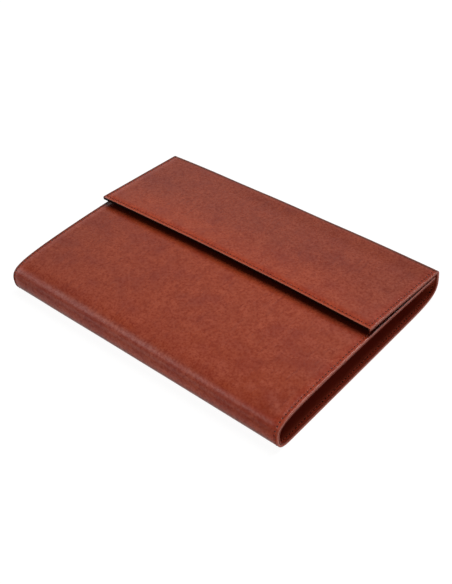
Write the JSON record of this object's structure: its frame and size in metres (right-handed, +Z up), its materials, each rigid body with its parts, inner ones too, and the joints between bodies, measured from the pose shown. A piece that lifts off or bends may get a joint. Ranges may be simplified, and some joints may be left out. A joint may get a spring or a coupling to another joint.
{
  "type": "leather document case",
  "caption": "Flat leather case for papers: one lined sheet rolled round a hollow that is open at both ends and folded back over itself as a plain flap, with stitched edges.",
  "frame": {"origin": "centre of the base, on the surface that the case rests on", "axes": "+X along the rolled front edge, +Y from the rolled front edge back to the fold, +Z up through the flap"},
  "size_m": [0.33, 0.233, 0.0427],
  "materials": {
    "cover_leather": "smooth satin brown-red leather",
    "lining_leather": "matt dark red-brown leather"
  },
  "bodies": {
    "root": {"outer_cover": "cover_leather", "lining": "lining_leather"}
  },
  "joints": []
}
